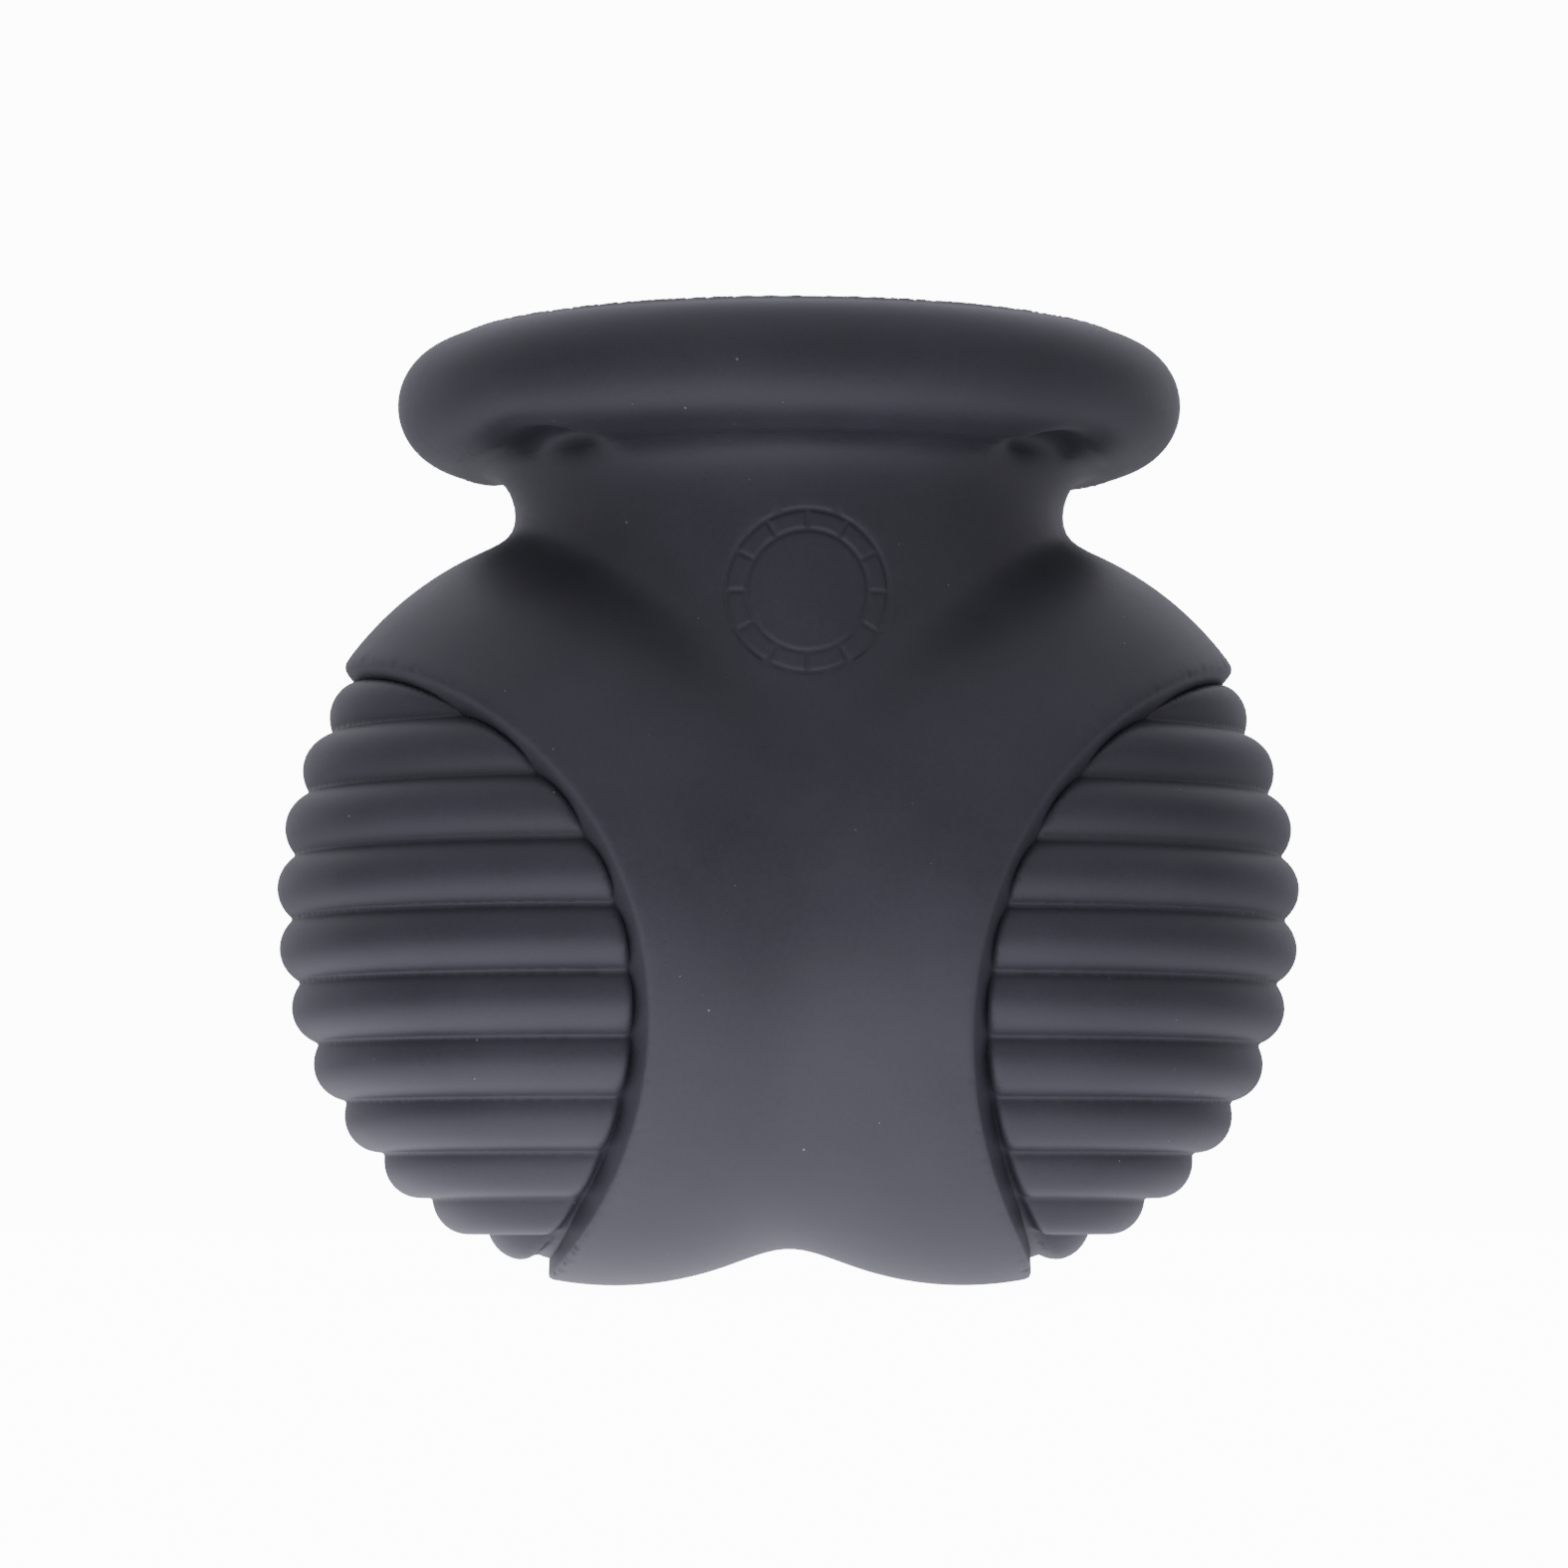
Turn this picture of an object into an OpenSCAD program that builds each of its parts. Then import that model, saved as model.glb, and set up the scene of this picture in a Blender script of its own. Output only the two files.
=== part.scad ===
// Hollow two-lobed friction ball in moulded rubber: a rolled ring round the mouth, a short
// neck, a saddle-shaped yoke over both lobes and a ribbed grip set into each flank.
// It stands on the two lobes with the mouth up. The front, with the roundel, faces -Y.

/* [Lobes] */
// Distance of each lobe's upright axis from the middle
lobe_offset = 11.5; // [9.5:0.1:13.9]
// Largest radius of a lobe, at its equator
lobe_radius = 23.05; // [19.2:0.05:27.7]
// How much larger than that radius the flatter arc along a lobe's side is
side_extra = 4.05; // [3.3:0.05:4.9]
// How much smaller than that radius the rounder arc over a lobe's top and foot is
pole_less = 1.15; // [0.9:0.05:1.4]
// Thickness of the rubber round the hollow
wall = 4; // [3.2:0.1:4.8]

/* [Neck and ring] */
// Radius of the throat through the neck
throat_radius = 14.4; // [12:0.1:17.3]
// How much wider the throat gets as it opens down into the hollow
throat_flare = 0.8; // [0.5:0.1:1.2]
// Thickness of the neck's wall
neck_wall = 3.6; // [3:0.1:4.4]
// Fillet between the neck and the underside of the ring
neck_fillet = 2; // [1.4:0.1:2.4]
// Distance of the ring's centre line out from the neck
ring_reach = 4.05; // [3.3:0.05:4.9]
// Thickness of the ring, measured through its section
ring_thickness = 8; // [6.6:0.1:9.6]
// Height of the ring's centre line above the tops of the lobes
ring_rise = 7.9; // [6.5:0.1:9.5]

/* [Grips] */
// Radius of the round window cut through each flank, seen from the front
window_radius = 24.9; // [20.7:0.1:26]
// Distance of the window's centre out from the lobe's axis
window_out = 23.5; // [22:0.1:26.5]
// Depth of the window's centre below the lobes' equator
window_drop = 8.75; // [7.3:0.05:10.5]
// Width of the channel between the window's edge and the ribs
channel_width = 0.7; // [0.4:0.1:1.2]
// Depth of the channel's floor below the yoke
channel_depth = 2.2; // [1.6:0.1:2.6]
// Radius of a rib's section
rib_radius = 2.6; // [2.2:0.1:3.1]
// Depth of the rib tops below the yoke
rib_inset = 0.7; // [0.3:0.1:1]
// Distance between neighbouring ribs, round the curve that their sections are centred on
rib_pitch = 3.95; // [3.3:0.05:4.75]
// Distance of the top rib above the lobes' equator, round the same curve
rib_first = 12.8; // [10.7:0.1:15.3]

/* [Roundel] */
// Outer radius of the plain roundel on the front of the neck
roundel_radius = 5.2; // [4:0.1:5.6]
// Depth of the roundel's centre below the ring's centre line
roundel_drop = 14; // [12:0.1:16]
// Width of its grooves
groove_width = 0.5; // [0.3:0.05:0.7]
// Depth of its grooves
groove_depth = 0.4; // [0.2:0.05:0.6]
// Number of tick marks round it
tick_count = 12; // [6:1:24]

/* [Seams] */
// Gap at the seams between the pieces, which is zero where they are moulded together
seam_gap = 0; // [0:0.01:0.1]

/* [Hidden] */
$fn = 96;

tube = ring_thickness / 2;
neck_radius = throat_radius + neck_wall;
ring_radius = neck_radius + ring_reach;

// A lobe's side arc is centred beyond its axis, and its two pole arcs are centred on the axis
side_arc = lobe_radius + side_extra;
pole_arc = lobe_radius - pole_less;
pole_z = sqrt((side_arc - pole_arc) ^ 2 - side_extra ^ 2);
// Angle above the equator at which the side arc meets the pole arc
join = atan2(pole_z, side_extra);

// The lobes touch the floor, which sets the height of their equator
lobe_z = pole_z + pole_arc;
hollow_top = 2 * lobe_z - wall;
ring_z = 2 * lobe_z + ring_rise;
window_x = lobe_offset + window_out;
window_z = lobe_z - window_drop;

// The fillet's centre lies a fillet out from the neck, and its circle touches the ring's
fillet_r = neck_radius + neck_fillet;
fillet_z = ring_z - sqrt((tube + neck_fillet) ^ 2 - (ring_radius - fillet_r) ^ 2);
// The ring is seated on the neck half way up the fillet
seam_z = fillet_z + neck_fillet * sin(45);
// The web over the fillet follows the line from the fillet's centre to the ring's
web_r = fillet_r + (ring_radius - fillet_r) * (seam_z - fillet_z) / (ring_z - fillet_z);

// The mouth opens in a quarter round from the throat to the top of the ring
mouth_round = ring_radius - throat_radius;
mouth_z = ring_z + tube - mouth_round;

// The ribs' sections are centred on a curve inside the lobe's two arcs
rib_side_arc = side_arc - rib_inset - rib_radius;
rib_pole_arc = pole_arc - rib_inset - rib_radius;
rib_join = rib_side_arc * join * PI / 180;
// Ribs follow each other down to the last one that still has a hole round the lobe's axis
rib_end = rib_join + rib_pole_arc * (acos(rib_radius / rib_pole_arc) - join) * PI / 180;
rib_last = floor((rib_first + rib_end) / rib_pitch);

// Longer than the part in every direction
through = 4 * (lobe_offset + lobe_radius);
far = through * [cos(join), sin(join)] - [side_extra, 0];

// Outside the pole arc, from the angle where the side arc meets it up to the lobe's axis
module off_the_pole(inset) {
    difference() {
        polygon([[0, pole_z], [far.x, far.y], [0, far.y]]);
        translate([0, pole_z])
            circle(r = pole_arc - inset);
    }
}

// One lobe with its axis on Z and its equator at zero, shrunk all round by an inset
module lobe(inset) {
    rotate_extrude()
        difference() {
            intersection() {
                translate([-side_extra, 0])
                    circle(r = side_arc - inset);
                translate([0, -through])
                    square([through, 2 * through]);
            }
            off_the_pole(inset);
            mirror([0, 1])
                off_the_pole(inset);
        }
}

module lobe_pair(inset) {
    for (side = [-1, 1])
        translate([side * lobe_offset, 0, lobe_z])
            lobe(inset);
}

module fillet_circle() {
    translate([fillet_r, fillet_z])
        circle(r = neck_fillet);
}

// The neck's tube, flared under the ring, with a flat top that the ring is seated on
module neck() {
    rotate_extrude()
        difference() {
            polygon([
                [0, lobe_z],
                [neck_radius, lobe_z],
                [neck_radius, fillet_z],
                [fillet_r, fillet_z],
                [fillet_r, seam_z],
                [0, seam_z]
            ]);
            fillet_circle();
        }
}

// The way from the mouth into the hollow, straight down to the hollow's top and flared below
module throat() {
    rotate_extrude()
        polygon([
            [0, lobe_z],
            [throat_radius + throat_flare, lobe_z],
            [throat_radius, hollow_top],
            [throat_radius, through],
            [0, through]
        ]);
}

// Everything hollow inside: both lobes less the wall
module hollow() {
    lobe_pair(wall);
}

// The round window through one flank, shrunk by an inset
module window(side, inset) {
    translate([side * window_x, 0, window_z])
        rotate([90, 0, 0])
            cylinder(r = window_radius - inset, h = through, center = true);
}

// A plain dial outline: two circles with ticks between them
module roundel_outline() {
    inner_radius = roundel_radius - 2.6 * groove_width;
    difference() {
        circle(r = roundel_radius);
        circle(r = roundel_radius - groove_width);
    }
    difference() {
        circle(r = inner_radius);
        circle(r = inner_radius - groove_width);
    }
    for (i = [0 : tick_count - 1])
        rotate(i * 360 / tick_count)
            translate([inner_radius - groove_width / 2, -groove_width / 2])
                square([roundel_radius - inner_radius, groove_width]);
}

// The roundel's grooves, down to their floor inside the neck's surface
module roundel_grooves() {
    difference() {
        translate([0, 0, ring_z - roundel_drop])
            rotate([90, 0, 0])
                linear_extrude(height = 2 * neck_radius)
                    roundel_outline();
        cylinder(r = neck_radius - groove_depth, h = ring_z);
    }
}

module yoke() {
    color([0.16, 0.16, 0.18])
        difference() {
            union() {
                lobe_pair(0);
                neck();
            }
            hollow();
            throat();
            window(-1, 0);
            window(1, 0);
            roundel_grooves();
        }
}

// What the mouth's quarter round takes off the inner top corner of the ring's web
module mouth_corner() {
    difference() {
        translate([0, mouth_z])
            square([ring_radius, through]);
        translate([ring_radius, mouth_z])
            circle(r = mouth_round);
    }
}

module collar_ring() {
    color([0.18, 0.18, 0.2])
        rotate_extrude() {
            translate([ring_radius, ring_z])
                circle(r = tube);
            difference() {
                polygon([
                    [throat_radius, seam_z + seam_gap],
                    [web_r, seam_z + seam_gap],
                    [ring_radius, ring_z],
                    [ring_radius, ring_z + tube],
                    [throat_radius, ring_z + tube]
                ]);
                mouth_corner();
                fillet_circle();
            }
        }
}

// Radius and height of the rib curve at a distance round it from the lobe's equator, up or down
function on_side(run) =
    let (angle = run / rib_side_arc * 180 / PI)
    [rib_side_arc * cos(angle) - side_extra, rib_side_arc * sin(angle)];
function on_pole(run) =
    let (angle = join + (abs(run) - rib_join) / rib_pole_arc * 180 / PI)
    [rib_pole_arc * cos(angle), sign(run) * (pole_z + rib_pole_arc * sin(angle))];
function rib_centre(run) = abs(run) < rib_join ? on_side(run) : on_pole(run);

// One rib: a ring of round section about the lobe's axis
module rib(run) {
    rotate_extrude()
        translate(rib_centre(run))
            circle(r = rib_radius);
}

module grip(side) {
    color([0.13, 0.13, 0.15])
        difference() {
            union() {
                intersection() {
                    translate([side * lobe_offset, 0, lobe_z])
                        lobe(channel_depth);
                    window(side, seam_gap);
                }
                intersection() {
                    translate([side * lobe_offset, 0, lobe_z])
                        for (i = [0 : rib_last])
                            rib(rib_first - i * rib_pitch);
                    window(side, channel_width);
                }
            }
            hollow();
        }
}

module left_grip() {
    grip(-1);
}

module right_grip() {
    grip(1);
}

yoke();
collar_ring();
left_grip();
right_grip();
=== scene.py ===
"""Looks of a moulded silicone friction ball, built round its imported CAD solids."""
import math

import bmesh
import bpy
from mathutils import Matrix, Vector


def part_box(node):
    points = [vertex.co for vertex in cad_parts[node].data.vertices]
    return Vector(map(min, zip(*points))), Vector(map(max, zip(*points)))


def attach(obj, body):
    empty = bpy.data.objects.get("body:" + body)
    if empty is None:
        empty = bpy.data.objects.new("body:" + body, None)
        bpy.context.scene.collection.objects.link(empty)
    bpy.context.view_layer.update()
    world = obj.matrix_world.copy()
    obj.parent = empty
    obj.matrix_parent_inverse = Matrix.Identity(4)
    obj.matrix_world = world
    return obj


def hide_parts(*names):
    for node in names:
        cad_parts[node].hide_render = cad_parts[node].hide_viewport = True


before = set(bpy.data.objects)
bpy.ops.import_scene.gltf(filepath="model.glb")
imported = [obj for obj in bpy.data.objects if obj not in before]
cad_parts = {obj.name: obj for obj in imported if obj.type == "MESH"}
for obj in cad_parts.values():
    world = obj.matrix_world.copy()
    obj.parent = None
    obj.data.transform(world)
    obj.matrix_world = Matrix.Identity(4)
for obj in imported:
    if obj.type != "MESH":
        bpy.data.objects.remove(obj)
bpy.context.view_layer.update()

MM = 0.001

# ---------------------------------------------------------------- sizes, in millimetres

ring_low, ring_high = (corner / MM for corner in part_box("collar_ring"))
yoke_low, yoke_high = (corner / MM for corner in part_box("yoke"))
grip_low, grip_high = (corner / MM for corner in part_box("right_grip"))

RING_TUBE = 4.0
LOBE_RADIUS = yoke_high.y
SIDE_EXTRA = 4.05
POLE_LESS = 1.15
POLE_ARC = LOBE_RADIUS - POLE_LESS
POLE_UP = math.sqrt((SIDE_EXTRA + POLE_LESS) ** 2 - SIDE_EXTRA ** 2)

SIZES = {
    "Lobe offset": 11.5,
    "Lobe radius": LOBE_RADIUS,
    "Side extra": SIDE_EXTRA,
    "Pole less": POLE_LESS,
    "Lobe height": POLE_UP + POLE_ARC,
    "Cleft blend": 4.5,
    "Wall": 4.0,
    "Inner edge": 0.3,
    "Neck radius": 18.0,
    "Neck blend": 3.0,
    "Flange blend": 7.0,
    "Throat radius": 14.4,
    "Throat blend": 1.0,
    "Ring radius": ring_high.x - RING_TUBE,
    "Ring tube": RING_TUBE,
    "Ring height": ring_high.z - RING_TUBE,
    "Ring seat": 3.75,
    "Ring crease": 1.3,
    "Seam height": ring_low.z,
    "Seam excess": 0.8,
    "Recess aside": 15.3,
    "Recess before": 12.9,
    "Recess drop": 3.0,
    "Recess length": 3.7,
    "Recess height": 1.5,
    "Recess depth": 1.3,
    "Roundel radius": 5.2,
    "Roundel drop": 14.0,
    "Roundel band": 1.3,
    "Tick count": 12,
    "Groove width": 0.16,
    "Groove depth": 0.13,
    "Window radius": 24.9,
    "Window offset": 35.0,
    "Window drop": 8.75,
    "Window edge": 0.45,
    "Window roll": 0.7,
    "Window draft": 0.6,
    "Draft above": 1.0,
    "Channel width": 0.7,
    "Channel widening": 1.1,
    "Channel depth": 2.2,
    "Shelf depth": 2.1,
    "Shelf width": 1.8,
    "Shelf edge": 0.8,
    "Shelf start": 0.8,
    "Shelf rise": 6.0,
    "Floor blend": 0.4,
    "Skin lap": 0.3,
    "Rib radius": 2.6,
    "Rib inset": 0.7,
    "Rib pitch": 3.95,
    "Rib first": 12.8,
    "Rib count": 11,
    "Rib end": 0.9,
    "Rib valley": 0.4,
    "Rib foot": 0.6,
    "Valley floor": 0.3,
}


# ---------------------------------------------------------------- distances as node fields

class Field:
    """A number that varies through space, made of Math nodes as it is written out."""

    def __init__(self, tree, value):
        self.tree = tree
        self.value = value

    def do(self, operation, *others):
        node = self.tree.nodes.new("ShaderNodeMath")
        node.operation = operation
        for slot, given in zip(node.inputs, (self, *others)):
            if isinstance(given, Field):
                given = given.value
            if isinstance(given, bpy.types.NodeSocket):
                self.tree.links.new(given, slot)
            else:
                slot.default_value = given
        return Field(self.tree, node.outputs[0])

    def __add__(self, other):
        return self.do("ADD", other)

    __radd__ = __add__

    def __sub__(self, other):
        return self.do("SUBTRACT", other)

    def __rsub__(self, other):
        return Field(self.tree, other).do("SUBTRACT", self)

    def __mul__(self, other):
        return self.do("MULTIPLY", other)

    __rmul__ = __mul__

    def __truediv__(self, other):
        return self.do("DIVIDE", other)

    def __rtruediv__(self, other):
        return Field(self.tree, other).do("DIVIDE", self)

    def __neg__(self):
        return self.do("MULTIPLY", -1.0)

    def square(self):
        return self.do("MULTIPLY", self)

    def root(self):
        return self.do("SQRT")

    def size(self):
        return self.do("ABSOLUTE")

    def between(self, low, high):
        return self.do("MAXIMUM", low).do("MINIMUM", high)

    def least(self, other, blend=0.0):
        """The smaller of two, rounded over where they are closer than the blend."""
        return self.do("SMOOTH_MIN", other, blend)

    def most(self, other, blend=0.0):
        return self.do("SMOOTH_MAX", other, blend)


def length(*parts):
    total = parts[0].square()
    for part in parts[1:]:
        total = total + part.square()
    return total.root()


class Lobe:
    """Places measured on a lobe's outline: a flat arc along its side, rounder ones at its poles."""

    def __init__(self, x, y, z, q, side=1.0):
        self.q = q
        self.out = length(x - q["Lobe offset"] * side, y)
        self.up = z - q["Lobe height"]
        self.side_arc = q["Lobe radius"] + q["Side extra"]
        self.pole_arc = q["Lobe radius"] - q["Pole less"]
        self.pole_up = ((self.side_arc - self.pole_arc).square() - q["Side extra"].square()).root()
        self.beyond = self.out + q["Side extra"]
        self.over = self.up.size() - self.pole_up
        rise = self.up.size() * q["Side extra"]
        self.on_side = rise.do("LESS_THAN", self.pole_up * self.beyond)

    def pick(self, side, pole):
        return pole + (side - pole) * self.on_side

    def distance(self, inset=0.0):
        side = length(self.beyond, self.up) - self.side_arc
        pole = length(self.out, self.over) - self.pole_arc
        return self.pick(side, pole) + inset

    def run(self, inset):
        """How far round the outline, inset, a place is from the equator, and that arc's radius."""
        side_arc = self.side_arc - inset
        pole_arc = self.pole_arc - inset
        join = self.pole_up.do("ARCTAN2", self.q["Side extra"])
        side = self.up.do("ARCTAN2", self.beyond) * side_arc
        pole = (self.over.do("ARCTAN2", self.out) - join) * pole_arc + join * side_arc
        return self.pick(side, pole * self.up.do("SIGN")), self.pick(side_arc, pole_arc)


def lobes(x, y, z, q, inset=0.0):
    wide = x.size()
    near = Lobe(wide, y, z, q).distance(inset)
    far = Lobe(wide, y, z, q, -1.0).distance(inset)
    return near.least(far, q["Cleft blend"])


def window(x, z, q):
    """Through the round window in either flank it is negative."""
    drop = z - (q["Lobe height"] - q["Window drop"])
    return length(x.size() - q["Window offset"], drop) - q["Window radius"]


def ball(x, y, z, q):
    """The ball's outside: lobes, neck and ring run into each other, with dents under the ring."""
    out = length(x, y)
    above = z - q["Ring height"]
    neck = (out - q["Neck radius"]).most(q["Lobe height"] - z).most(above)
    flange = (out - q["Ring radius"]).most(-above - q["Ring seat"]).most(above - q["Ring tube"])
    tube = length(out - q["Ring radius"], above) - q["Ring tube"]
    stem = lobes(x, y, z, q).least(neck, q["Neck blend"]).least(flange, q["Flange blend"])
    along = length(x.size() - q["Recess aside"], y.size() - q["Recess before"]) / q["Recess length"]
    over = (above + q["Recess drop"]) / q["Recess height"]
    recess = (-along.square() - over.square()).do("EXPONENT") * q["Recess depth"]
    return stem.least(tube, q["Ring crease"]) + recess


def way_in(x, y, z, q):
    """The bell mouth, the throat and the hollow, all negative."""
    out = length(x, y)
    mouth_round = q["Ring radius"] - q["Throat radius"]
    above = (z - (q["Ring height"] + q["Ring tube"] - mouth_round)).do("MAXIMUM", 0.0)
    bell = length(out - q["Ring radius"], above) - mouth_round
    throat = (-bell).most(out - q["Ring radius"]).most(q["Lobe height"] - z)
    return lobes(x, y, z, q, q["Wall"]).least(throat, q["Throat blend"])


def roundel_line(x, y, z, q):
    """Distance to the lines of a plain dial track on the front: two circles with ticks between."""
    up = z - (q["Ring height"] - q["Roundel drop"])
    out = length(x, up)
    half = q["Roundel band"] / 2
    middle = q["Roundel radius"] - half
    circles = ((out - middle).size() - half).size()
    step = math.tau / q["Tick count"]
    turn = x.do("ARCTAN2", up)
    aside = (turn - (turn / step).do("ROUND") * step) * out
    along = ((out - middle).size() - half).do("MAXIMUM", 0.0)
    return circles.least(length(aside, along)).most(y)


def yoke_shape(x, y, z, q):
    """The ball up to past the seam, less both windows, whose walls lean out, and the roundel."""
    skin = ball(x, y, z, q)
    line = roundel_line(x, y, z, q) / q["Groove width"]
    groove = (-line.square()).do("EXPONENT") * q["Groove depth"]
    lean = skin.between(-q["Wall"], q["Draft above"]) * q["Window draft"]
    high = (z / q["Lobe height"] - 1.0).between(0.0, 1.0)
    edge = high * q["Window roll"] + q["Window edge"]
    body = (skin + groove).most(lean - window(x, z, q), edge)
    body = body.most(-way_in(x, y, z, q), q["Inner edge"])
    return body.most(z - q["Seam height"] - q["Seam excess"])


def ring_shape(x, y, z, q):
    """The ball above the seam, and a little more that is cut off later."""
    body = ball(x, y, z, q).most(-way_in(x, y, z, q), q["Inner edge"])
    return body.most(q["Seam height"] - q["Seam excess"] - z)


def grip_shape(x, y, z, q):
    """Ribs of round section along the lobe's outline, standing in a channel with a skin behind."""
    lobe = Lobe(x, y, z, q)
    deep = lobe.distance()
    inset = q["Rib inset"] + q["Rib radius"]
    run, arc = lobe.run(inset)
    step = ((q["Rib first"] - run) / q["Rib pitch"]).do("ROUND").between(0.0, q["Rib count"] - 1.0)
    spread = (deep + inset + arc) / arc
    aside = (run - q["Rib first"] + step * q["Rib pitch"]).size() * spread
    beside = (q["Rib pitch"] * spread - aside).do("MAXIMUM", q["Rib pitch"] / 2 * spread)
    rib = length(deep + inset, aside).least(length(deep + inset, beside), q["Rib valley"])
    rib = rib - q["Rib radius"]
    valley_floor = deep + q["Channel depth"] - q["Valley floor"]
    low = (-lobe.up / q["Lobe height"]).between(0.0, 1.0)
    rise = (low - q["Shelf start"]).do("MAXIMUM", 0.0) * q["Shelf rise"]
    shelf = deep + q["Shelf depth"] - rise
    shelf = shelf.most(-window(x, z, q) - q["Shelf width"], q["Shelf edge"])
    inside = window(x, z, q) + q["Channel width"] + low * q["Channel widening"]
    ribs = rib.least(valley_floor, q["Floor blend"]).most(inside, q["Rib end"])
    skin = (deep + q["Channel depth"]).least(shelf, q["Floor blend"])
    skin = skin.most(window(x, z, q) - q["Skin lap"])
    return ribs.least(skin, q["Rib foot"]).most(-(deep + q["Wall"]), q["Inner edge"])


# ---------------------------------------------------------------- trees

class Named(dict):
    """A tree's inputs by size name, each made when it is first asked for."""

    def __init__(self, tree):
        super().__init__()
        self.tree = tree
        self.given = tree.nodes.new("NodeGroupInput")

    def __missing__(self, name):
        socket = self.tree.interface.new_socket(name, in_out="INPUT", socket_type="NodeSocketFloat")
        socket.default_value = SIZES[name]
        self[name] = Field(self.tree, self.given.outputs[name])
        return self[name]


def new_tree(name, kind, takes):
    """An empty tree that takes one thing and gives one, with its named sizes."""
    tree = bpy.data.node_groups.new(name, "GeometryNodeTree")
    tree.interface.new_socket(takes, in_out="INPUT", socket_type=kind)
    return tree, Named(tree)


def sizes_of(group):
    sockets = group.interface.items_tree
    return [s for s in sockets if s.in_out == "INPUT" and s.name in SIZES]


def use(tree, q, group, first):
    """A node for a group inside a tree, given its first input and the tree's own sizes."""
    node = tree.nodes.new("GeometryNodeGroup")
    node.node_tree = group
    tree.links.new(first, node.inputs[0])
    for size in sizes_of(group):
        tree.links.new(q[size.name].value, node.inputs[size.name])
    return node.outputs[0]


def distance_group(name, shape):
    """A node group that gives a shape's distance in millimetres at a position in metres."""
    tree, q = new_tree(name, "NodeSocketVector", "Position")
    tree.interface.new_socket("Distance", in_out="OUTPUT", socket_type="NodeSocketFloat")
    parts = tree.nodes.new("ShaderNodeSeparateXYZ")
    tree.links.new(q.given.outputs["Position"], parts.inputs[0])
    x, y, z = (Field(tree, parts.outputs[i]) * (1 / MM) for i in range(3))
    result = tree.nodes.new("NodeGroupOutput")
    tree.links.new(shape(x, y, z, q).value, result.inputs["Distance"])
    return tree


def vector(tree, operation, *values):
    """A Vector Math node's result."""
    node = tree.nodes.new("ShaderNodeVectorMath")
    node.operation = operation
    for slot, value in zip([s for s in node.inputs if s.enabled], values):
        if isinstance(value, bpy.types.NodeSocket):
            tree.links.new(value, slot)
        else:
            slot.default_value = value
    return [s for s in node.outputs if s.enabled][0]


# A distance's slope is felt at the corners of a tetrahedron this large round a point
PROBE = 0.02 * MM
CORNERS = ((1, -1, -1), (-1, -1, 1), (-1, 1, -1), (1, 1, 1))
# A point is moved no farther than this at a time, even where the slope is next to nothing
FARTHEST = 0.3 * MM
LEAST_SLOPE = 0.05


def settle_group(name, distance):
    """A node group that moves every point onto the surface, along the distance's slope."""
    tree, q = new_tree(name, "NodeSocketGeometry", "Geometry")
    tree.interface.new_socket("Geometry", in_out="OUTPUT", socket_type="NodeSocketGeometry")
    place = tree.nodes.new("GeometryNodeInputPosition").outputs[0]
    slope = None
    for corner in CORNERS:
        at = vector(tree, "ADD", place, tuple(c * PROBE for c in corner))
        away = tuple(c * MM / (4 * PROBE) for c in corner)
        part = vector(tree, "SCALE", away, use(tree, q, distance, at))
        slope = part if slope is None else vector(tree, "ADD", slope, part)
    steep = Field(tree, vector(tree, "DOT_PRODUCT", slope, slope))
    here = Field(tree, use(tree, q, distance, place))
    shift = (here * -MM / steep.do("MAXIMUM", LEAST_SLOPE)).between(-FARTHEST, FARTHEST)
    put = tree.nodes.new("GeometryNodeSetPosition")
    tree.links.new(q.given.outputs["Geometry"], put.inputs["Geometry"])
    tree.links.new(vector(tree, "SCALE", slope, shift.value), put.inputs["Offset"])
    result = tree.nodes.new("NodeGroupOutput")
    tree.links.new(put.outputs["Geometry"], result.inputs["Geometry"])
    return tree


# Edges that bend more than this stay sharp
SHARP = math.radians(60)
# How often a grown mesh is evened out and settled again
RELAXINGS = 3


def finished(tree, geometry, finish):
    """Ends a tree: smooth shading except over sharp edges, and the material."""
    for domain in ("FACE", "EDGE"):
        smooth = tree.nodes.new("GeometryNodeSetShadeSmooth")
        smooth.domain = domain
        tree.links.new(geometry, smooth.inputs["Geometry"])
        geometry = smooth.outputs["Geometry"]
    bend = tree.nodes.new("GeometryNodeInputMeshEdgeAngle")
    soft = Field(tree, bend.outputs["Unsigned Angle"]).do("LESS_THAN", SHARP)
    tree.links.new(soft.value, smooth.inputs["Shade Smooth"])
    coat = tree.nodes.new("GeometryNodeSetMaterial")
    coat.inputs["Material"].default_value = finish
    tree.links.new(geometry, coat.inputs["Geometry"])
    result = tree.nodes.new("NodeGroupOutput")
    tree.links.new(coat.outputs[0], result.inputs["Geometry"])


def relaxed(tree, geometry):
    """Every point moved to the middle of its neighbours."""
    blur = tree.nodes.new("GeometryNodeBlurAttribute")
    blur.data_type = "FLOAT_VECTOR"
    blur.inputs["Iterations"].default_value = 1
    place = tree.nodes.new("GeometryNodeInputPosition")
    tree.links.new(place.outputs[0], [s for s in blur.inputs if s.enabled][0])
    put = tree.nodes.new("GeometryNodeSetPosition")
    tree.links.new(geometry, put.inputs["Geometry"])
    tree.links.new([s for s in blur.outputs if s.enabled][0], put.inputs["Position"])
    return put.outputs["Geometry"]


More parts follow.
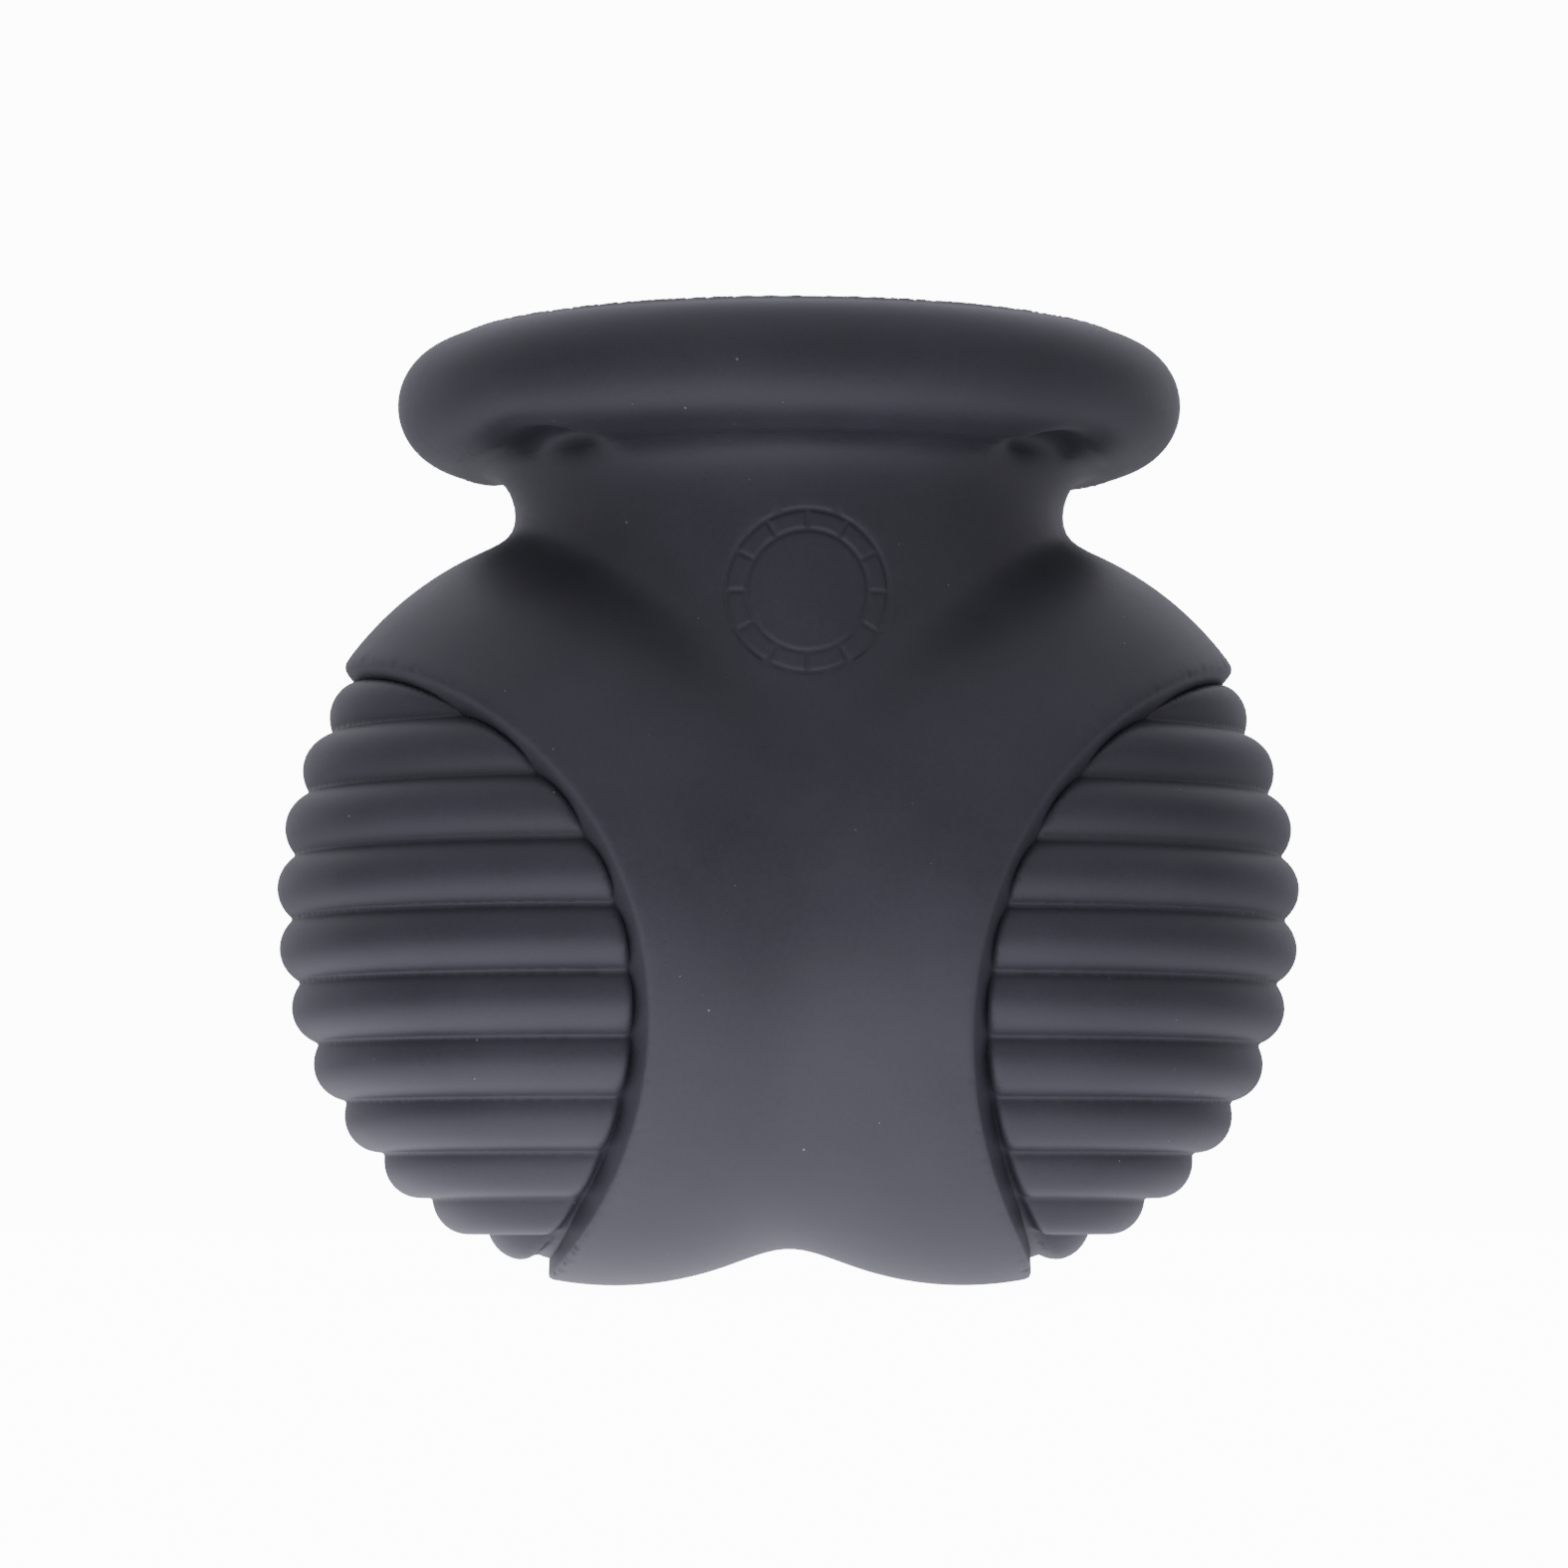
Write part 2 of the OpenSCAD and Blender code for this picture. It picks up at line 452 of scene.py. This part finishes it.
def moulding_tree(name, distance, settle, finish, low, high, cell):
    """A tree that turns a shape's distance into a mesh: a volume of it, its skin, settled."""
    tree, q = new_tree(name, "NodeSocketGeometry", "Geometry")
    tree.is_modifier = True
    tree.interface.new_socket("Geometry", in_out="OUTPUT", socket_type="NodeSocketGeometry")
    place = tree.nodes.new("GeometryNodeInputPosition").outputs[0]
    inside = -Field(tree, use(tree, q, distance, place))
    volume = tree.nodes.new("GeometryNodeVolumeCube")
    tree.links.new(inside.value, volume.inputs["Density"])
    volume.inputs["Background"].default_value = -1.0
    volume.inputs["Min"].default_value = low * MM
    volume.inputs["Max"].default_value = high * MM
    for axis, span in zip("XYZ", high - low):
        volume.inputs["Resolution " + axis].default_value = int(span / cell) + 1
    skin = tree.nodes.new("GeometryNodeVolumeToMesh")
    skin.resolution_mode = "GRID"
    skin.inputs["Threshold"].default_value = 0.0
    tree.links.new(volume.outputs[0], skin.inputs[0])
    geometry = use(tree, q, settle, use(tree, q, settle, skin.outputs[0]))
    for _ in range(RELAXINGS):
        geometry = relaxed(tree, geometry)
        geometry = use(tree, q, settle, use(tree, q, settle, geometry))
    finished(tree, geometry, finish)
    return tree


def settling_tree(name, settle, finish):
    """A tree that settles a mesh whose faces were divided."""
    tree, q = new_tree(name, "NodeSocketGeometry", "Geometry")
    tree.is_modifier = True
    tree.interface.new_socket("Geometry", in_out="OUTPUT", socket_type="NodeSocketGeometry")
    geometry = use(tree, q, settle, use(tree, q, settle, q.given.outputs["Geometry"]))
    finished(tree, geometry, finish)
    return tree


def through(tree, mesh, finish):
    """The mesh that a tree makes of another, with its sizes given by name."""
    seed = bpy.data.objects.new("seed", mesh)
    bpy.context.scene.collection.objects.link(seed)
    modifier = seed.modifiers.new("Moulding", "NODES")
    modifier.node_group = tree
    for size in sizes_of(tree):
        modifier[size.identifier] = float(SIZES[size.name])
    depsgraph = bpy.context.evaluated_depsgraph_get()
    made = bpy.data.meshes.new_from_object(seed.evaluated_get(depsgraph), depsgraph=depsgraph)
    bpy.data.objects.remove(seed)
    bpy.data.meshes.remove(mesh)
    made.materials.clear()
    made.materials.append(finish)
    made.polygons.foreach_set("material_index", [0] * len(made.polygons))
    return made


def divide(mesh, near, cuts):
    """Divides the faces whose corners are all near something fine."""
    bm = bmesh.new()
    bm.from_mesh(mesh)
    edges = [e for e in bm.edges if all(near(v.co / MM) for v in e.verts)]
    bmesh.ops.subdivide_edges(bm, edges=edges, cuts=cuts, use_grid_fill=True)
    bmesh.ops.triangulate(bm, faces=[f for f in bm.faces if len(f.verts) > 4])
    bm.to_mesh(mesh)
    bm.free()


def cut_flat(mesh, up):
    """Cuts a mesh off at the seam and caps it: 1 keeps what is below the seam, -1 what is above."""
    seam = SIZES["Seam height"] * MM
    bm = bmesh.new()
    bm.from_mesh(mesh)
    whole = bm.verts[:] + bm.edges[:] + bm.faces[:]
    bmesh.ops.bisect_plane(
        bm, geom=whole, dist=1e-7, plane_co=(0, 0, seam), plane_no=(0, 0, up), clear_outer=True
    )
    rim = [e for e in bm.edges if e.is_boundary]
    for edge in rim:
        edge.smooth = False
    cap = bmesh.ops.triangle_fill(bm, edges=rim, normal=(0, 0, up), use_beauty=True)
    for face in [f for f in cap["geom"] if isinstance(f, bmesh.types.BMFace)]:
        face.normal_update()
        if face.normal.z * up < 0:
            face.normal_flip()
    bm.to_mesh(mesh)
    bm.free()


def moulded(name, shape, finish, low, high, cell, fine=(), up=0):
    """A piece grown from its shape's distance, divided where it is fine and cut at the seam."""
    margin = Vector((1, 1, 1))
    distance = distance_group(name + " distance", shape)
    settle = settle_group(name + " settle", distance)
    low, high = low - margin, high + margin
    grow = moulding_tree(name + " moulding", distance, settle, finish, low, high, cell)
    mesh = through(grow, bpy.data.meshes.new(name), finish)
    for near, cuts in fine:
        divide(mesh, near, cuts)
    if fine:
        mesh = through(settling_tree(name + " settling", settle, finish), mesh, finish)
    if up:
        cut_flat(mesh, up)
    mesh.name = name
    piece = bpy.data.objects.new(name, mesh)
    bpy.context.scene.collection.objects.link(piece)
    return piece


# How far the finer faces reach: past the roundel, across and down the windows' edges, and down
# the valleys, whose half width is a share of the ribs' pitch
ROUNDEL_MARGIN = 0.6
EDGE_INSIDE = 1.7
EDGE_OUTSIDE = 0.6
EDGE_DEPTH = 2.4
VALLEY_HALF = 0.13
VALLEY_DEPTH = 2.6


def by_roundel(at):
    """Over the roundel on the front of the neck."""
    up = at.z - SIZES["Ring height"] + SIZES["Roundel drop"]
    return at.y < 0 and math.hypot(at.x, up) < SIZES["Roundel radius"] + ROUNDEL_MARGIN


def by_window(at):
    """Along the outer edge of either window and the wall under it."""
    up = at.z - SIZES["Lobe height"]
    out = math.hypot(abs(at.x) - SIZES["Window offset"], up + SIZES["Window drop"])
    deep = LOBE_RADIUS - math.hypot(abs(at.x) - SIZES["Lobe offset"], at.y, up)
    return deep < EDGE_DEPTH and -EDGE_INSIDE < out - SIZES["Window radius"] < EDGE_OUTSIDE


def by_valley(at):
    """Along the valleys between the ribs of the right grip, on its outside."""
    out = math.hypot(at.x - SIZES["Lobe offset"], at.y)
    up = at.z - SIZES["Lobe height"]
    inset = SIZES["Rib inset"] + SIZES["Rib radius"]
    beyond = out + SIZES["Side extra"]
    if abs(up) * SIZES["Side extra"] < POLE_UP * beyond:
        arc = LOBE_RADIUS + SIDE_EXTRA
        run = math.atan2(up, beyond) * (arc - inset)
        deep = arc - math.hypot(beyond, up)
    else:
        join = math.atan2(POLE_UP, SIDE_EXTRA)
        over = abs(up) - POLE_UP
        turn = (math.atan2(over, out) - join) * (POLE_ARC - inset)
        run = math.copysign(turn + join * (LOBE_RADIUS + SIDE_EXTRA - inset), up)
        deep = POLE_ARC - math.hypot(out, over)
    step = (SIZES["Rib first"] - run) / SIZES["Rib pitch"]
    return deep < VALLEY_DEPTH and abs(step - math.floor(step) - 0.5) < VALLEY_HALF


# ---------------------------------------------------------------- finish

def silicone():
    """Charcoal silicone: satin, faintly mottled, with mould pits and a few specks of dust."""
    finish = bpy.data.materials.new("charcoal_silicone")
    finish.use_nodes = True
    tree = finish.node_tree
    shader = tree.nodes["Principled BSDF"]
    shader.inputs["IOR"].default_value = 1.42
    place = tree.nodes.new("ShaderNodeTexCoord").outputs["Object"]

    def noise(size, detail, roughness=0.5):
        node = tree.nodes.new("ShaderNodeTexNoise")
        node.inputs["Scale"].default_value = 1 / (size * MM)
        node.inputs["Detail"].default_value = detail
        node.inputs["Roughness"].default_value = roughness
        tree.links.new(place, node.inputs["Vector"])
        return Field(tree, node.outputs["Fac"])

    def spots(size, radius):
        """1 inside small round spots, one in each cell, of radii up to a share of the cell."""
        cells = tree.nodes.new("ShaderNodeTexVoronoi")
        cells.inputs["Scale"].default_value = 1 / (size * MM)
        tree.links.new(place, cells.inputs["Vector"])
        lot = tree.nodes.new("ShaderNodeSeparateColor")
        tree.links.new(cells.outputs["Color"], lot.inputs[0])
        reach = Field(tree, lot.outputs[0]).square() * (radius / size)
        return (reach - Field(tree, cells.outputs["Distance"])).between(-1.0, 0.02) * 50.0

    def mixed(amount, low, high):
        node = tree.nodes.new("ShaderNodeMix")
        node.data_type = "RGBA"
        tree.links.new(amount.value, node.inputs["Factor"])
        for slot, colour in (("A_Color", low), ("B_Color", high)):
            target = [s for s in node.inputs if s.identifier == slot][0]
            if isinstance(colour, bpy.types.NodeSocket):
                tree.links.new(colour, target)
            else:
                target.default_value = (*colour, 1)
        return [s for s in node.outputs if s.identifier == "Result_Color"][0]

    dark = (0.030, 0.030, 0.037)
    light = (0.044, 0.044, 0.053)
    dusty = (0.4, 0.4, 0.42)
    cloud = noise(9.0, 4.0)
    grain = noise(0.35, 3.0, 0.6)
    dust = spots(1.6, 0.11).between(0.0, 1.0)
    pits = spots(1.3, 0.12).between(0.0, 1.0)
    mottle = (cloud * 0.7 + grain * 0.3 - 0.3).between(0.0, 0.4) * 2.5
    base = mixed(mottle, dark, light)
    base = mixed(dust * 0.4, base, dusty)
    tree.links.new(base, shader.inputs["Base Color"])
    rough = cloud * 0.16 + grain * 0.1 + dust * 0.2 + 0.36
    tree.links.new(rough.value, shader.inputs["Roughness"])
    bump = tree.nodes.new("ShaderNodeBump")
    bump.inputs["Distance"].default_value = 0.02 * MM
    bump.inputs["Strength"].default_value = 1.0
    height = grain * 0.14 + noise(2.4, 2.0) * 0.8 + noise(0.09, 1.0) * 0.08
    height = height + dust * 0.9 - pits * 0.9
    tree.links.new(height.value, bump.inputs["Height"])
    tree.links.new(bump.outputs[0], shader.inputs["Normal"])
    return finish


# ---------------------------------------------------------------- pieces

def mirrored(piece, name):
    """A copy of a piece on the other side of the middle."""
    twin = piece.copy()
    twin.data = piece.data.copy()
    twin.name = name
    for v in twin.data.vertices:
        v.co.x = -v.co.x
    twin.data.flip_normals()
    bpy.context.scene.collection.objects.link(twin)
    return twin


# Sizes of the cells that the pieces are grown in, in millimetres
YOKE_CELL = 0.62
RING_CELL = 0.42
GRIP_CELL = 0.36


def build():
    rubber = silicone()
    fine = ((by_roundel, 5), (by_window, 2))
    yoke = moulded("moulded_yoke", yoke_shape, rubber, yoke_low, yoke_high, YOKE_CELL, fine, 1)
    ring = moulded("rolled_ring", ring_shape, rubber, ring_low, ring_high, RING_CELL, (), -1)
    fine = ((by_valley, 1),)
    right = moulded("right_ribbed_grip", grip_shape, rubber, grip_low, grip_high, GRIP_CELL, fine)
    left = mirrored(right, "left_ribbed_grip")
    for piece, node, slot in (
        (yoke, "yoke", "yoke_rubber"),
        (ring, "collar_ring", "ring_rubber"),
        (right, "right_grip", "grip_rubber"),
        (left, "left_grip", "grip_rubber"),
    ):
        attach(piece, "root")
        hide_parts(node)


# ---------------------------------------------------------------- floor, light, camera

WHITE = 14.0
COOL = (0.9, 0.89, 1.0, 1)
TABLE_GLOW = 1.9
TABLE_REACH = 0.075
TABLE_LEAST = 0.12
TABLE_MIDDLE = (-0.02, -0.03)
FLOOR_HALF = 3.0


def seen_white(tree, strength):
    """A strength that is plain white to the camera and its own to everything else."""
    path = tree.nodes.new("ShaderNodeLightPath")
    seen = Field(tree, path.outputs["Is Camera Ray"])
    return strength + seen * (WHITE - strength)


def stage():
    """A pale floor that glows like a light table under and before the ball."""
    mesh = bpy.data.meshes.new("floor")
    half = FLOOR_HALF
    corners = [(-half, -half, 0), (half, -half, 0), (half, half, 0), (-half, half, 0)]
    mesh.from_pydata(corners, [], [(0, 1, 2, 3)])
    floor = bpy.data.objects.new("floor", mesh)
    bpy.context.scene.collection.objects.link(floor)
    finish = bpy.data.materials.new("floor")
    finish.use_nodes = True
    tree = finish.node_tree
    shader = tree.nodes["Principled BSDF"]
    shader.inputs["Base Color"].default_value = (0.5, 0.5, 0.5, 1)
    shader.inputs["Roughness"].default_value = 0.9
    shader.inputs["Emission Color"].default_value = COOL
    parts = tree.nodes.new("ShaderNodeSeparateXYZ")
    tree.links.new(tree.nodes.new("ShaderNodeTexCoord").outputs["Object"], parts.inputs[0])
    x, y = (Field(tree, parts.outputs[i]) for i in range(2))
    away = length(x - TABLE_MIDDLE[0], y - TABLE_MIDDLE[1]) / TABLE_REACH
    glow = (-away.square()).do("EXPONENT") * TABLE_GLOW + TABLE_LEAST
    tree.links.new(seen_white(tree, glow).value, shader.inputs["Emission Strength"])
    mesh.materials.append(finish)


def ramp(way, start, span, gain):
    """Light that grows from nothing past a start to its full strength over a span."""
    return (way - start).between(0.0, span) * gain


def surround():
    """A white room, bright overhead and behind the ball, dimmer on the camera's side."""
    world = bpy.data.worlds.new("surround")
    world.use_nodes = True
    tree = world.node_tree
    parts = tree.nodes.new("ShaderNodeSeparateXYZ")
    tree.links.new(tree.nodes.new("ShaderNodeTexCoord").outputs["Generated"], parts.inputs[0])
    x, y, z = (Field(tree, parts.outputs[i]) for i in range(3))
    behind = ramp(y, 0.1, 0.6, 1.1)
    above = ramp(z, 0.25, 0.7, 1.2)
    before = ramp(-y, 0.3, 0.7, 0.45)
    room = 0.15 + behind + above + before + x.size() * 0.12 - x * 0.04
    back = tree.nodes["Background"]
    back.inputs["Color"].default_value = COOL
    tree.links.new(seen_white(tree, room).value, back.inputs["Strength"])
    bpy.context.scene.world = world


def camera():
    turn = math.radians(-3.72)
    rise = math.radians(-4.2)
    away = 400.0
    frame_width = 104.1
    sensor_width = 36.0
    look = Vector((-0.34, 0, 33.19))
    level = math.cos(rise)
    back = Vector((math.sin(turn) * level, -math.cos(turn) * level, math.sin(rise)))
    eye = bpy.data.objects.new("camera", bpy.data.cameras.new("camera"))
    eye.data.lens = sensor_width * away / frame_width
    eye.data.clip_start = 0.001
    eye.location = (look + back * away) * MM
    eye.rotation_euler = back.to_track_quat("Z", "Y").to_euler()
    bpy.context.scene.collection.objects.link(eye)
    bpy.context.scene.camera = eye


build()
stage()
surround()
camera()
